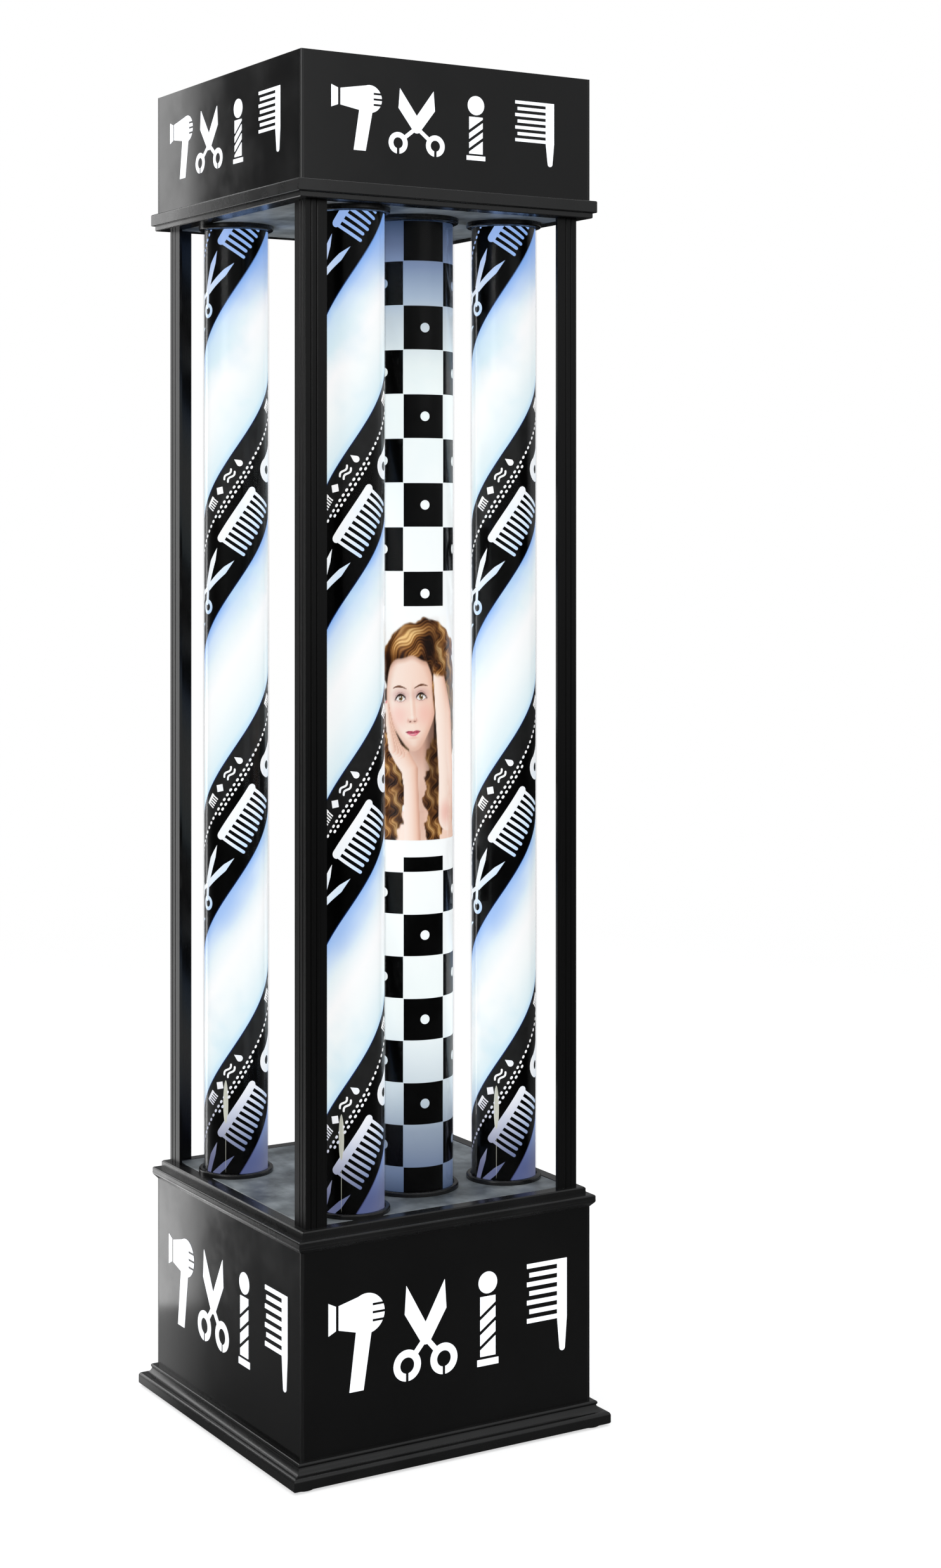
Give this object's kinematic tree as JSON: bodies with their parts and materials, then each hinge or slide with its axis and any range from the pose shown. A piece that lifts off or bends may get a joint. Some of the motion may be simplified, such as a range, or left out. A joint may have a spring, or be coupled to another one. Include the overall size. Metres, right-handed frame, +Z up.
{
  "type": "barber pole light",
  "caption": "Floor-standing square salon light tower: base and head sign boxes, corner posts, slim spiral poles and one wide chequered pole with lit rotating drums.",
  "frame": {"origin": "on the floor at the centre of the square footprint", "axes": "+Z up; -Y is the front face, +Y the back with the power inlet; +X to the right seen from the front"},
  "size_m": [0.47, 0.47, 1.7842],
  "materials": {
    "rubber": "matt black rubber",
    "moulding_lacquer": "satin black lacquer on moulded wood",
    "board": "sealed fibreboard",
    "batten_wood": "planed softwood",
    "deck_laminate": "mottled dark grey laminate on board",
    "ceiling_laminate": "mottled light grey laminate on board",
    "panel_black": "satin black sheet",
    "edge_trim": "dark satin strip",
    "opal_acrylic": "opal sheet",
    "sign_white": "opal white, lit from behind",
    "black_aluminium": "black anodised",
    "clear_acrylic": "clear polished acrylic",
    "spiral_film": "translucent film printed with a black and white spiral",
    "chequer_film": "translucent film printed with a chequer pattern and a portrait",
    "collar_black": "satin black",
    "hub_plastic": "natural white moulded plastic",
    "screw_steel": "zinc plated",
    "motor_steel": "plated steel",
    "bare_aluminium": "mill finish",
    "led_strip": "white circuit strip with small lamps",
    "inlet_plastic": "black moulded plastic",
    "switch_plastic": "black polished plastic"
  },
  "bodies": {
    "root": {"rubber_feet": "rubber", "plinth_moulding": "moulding_lacquer", "deck_moulding": "moulding_lacquer", "head_moulding": "moulding_lacquer", "base_floor": "board", "base_battens": "batten_wood", "head_battens": "batten_wood", "deck_board": "deck_laminate", "ceiling_board": "ceiling_laminate", "base_panel_front": "panel_black", "base_panel_right": "panel_black", "base_panel_back": "panel_black", "base_panel_left": "panel_black", "head_panel_front": "panel_black", "head_panel_right": "panel_black", "head_panel_back": "panel_black", "head_panel_left": "panel_black", "head_top_panel": "panel_black", "corner_trims": "edge_trim", "base_diffusers": "opal_acrylic", "head_diffusers": "opal_acrylic", "base_pictograms": "sign_white", "head_pictograms": "sign_white", "corner_post_front_left": "black_aluminium", "corner_post_front_right": "black_aluminium", "corner_post_back_right": "black_aluminium", "corner_post_back_left": "black_aluminium", "clear_tube_front": "clear_acrylic", "clear_tube_right": "clear_acrylic", "clear_tube_rear": "clear_acrylic", "clear_tube_left": "clear_acrylic", "clear_tube_wide": "clear_acrylic", "lower_collars": "collar_black", "upper_collars": "collar_black", "post_screws": "screw_steel", "panel_screws": "screw_steel", "motor_screws": "screw_steel", "gear_motors": "motor_steel", "lamp_bars": "bare_aluminium", "lamp_flanges": "bare_aluminium", "led_driver": "bare_aluminium", "light_strips": "led_strip", "power_inlet": "inlet_plastic"},
    "drum_front": {"printed_drum_front": "spiral_film", "drive_hub_front": "hub_plastic", "guide_ring_front": "hub_plastic"},
    "drum_right": {"printed_drum_right": "spiral_film", "drive_hub_right": "hub_plastic", "guide_ring_right": "hub_plastic"},
    "drum_rear": {"printed_drum_rear": "spiral_film", "drive_hub_rear": "hub_plastic", "guide_ring_rear": "hub_plastic"},
    "drum_left": {"printed_drum_left": "spiral_film", "drive_hub_left": "hub_plastic", "guide_ring_left": "hub_plastic"},
    "drum_wide": {"printed_drum_wide": "chequer_film", "drive_hub_wide": "hub_plastic", "guide_ring_wide": "hub_plastic"},
    "rocker": {"rocker_switch": "switch_plastic"},
    "fuse_carrier": {"fuse_drawer": "switch_plastic"}
  },
  "joints": [
    {"name": "drum_front_spin", "type": "hinge", "parent": "root", "child": "drum_front", "pos_m": [-0.108, -0.147, 0.314], "axis": [0, 0, 1], "continuous": true},
    {"name": "drum_right_spin", "type": "hinge", "parent": "root", "child": "drum_right", "pos_m": [0.147, -0.108, 0.314], "axis": [0, 0, 1], "continuous": true},
    {"name": "drum_rear_spin", "type": "hinge", "parent": "root", "child": "drum_rear", "pos_m": [0.108, 0.147, 0.314], "axis": [0, 0, 1], "continuous": true},
    {"name": "drum_left_spin", "type": "hinge", "parent": "root", "child": "drum_left", "pos_m": [-0.147, 0.108, 0.314], "axis": [0, 0, 1], "continuous": true},
    {"name": "drum_wide_spin", "type": "hinge", "parent": "root", "child": "drum_wide", "pos_m": [0.017, -0.085, 0.314], "axis": [0, 0, 1], "continuous": true},
    {"name": "rocker_tilt", "type": "hinge", "parent": "root", "child": "rocker", "pos_m": [-0.146, 0.2135, 0.0835], "axis": [1, 0, 0], "range_deg": [-16, 0]},
    {"name": "fuse_drawer_slide", "type": "slide", "parent": "root", "child": "fuse_carrier", "axis": [0, 1, 0], "range_m": [0, 0.02]}
  ]
}
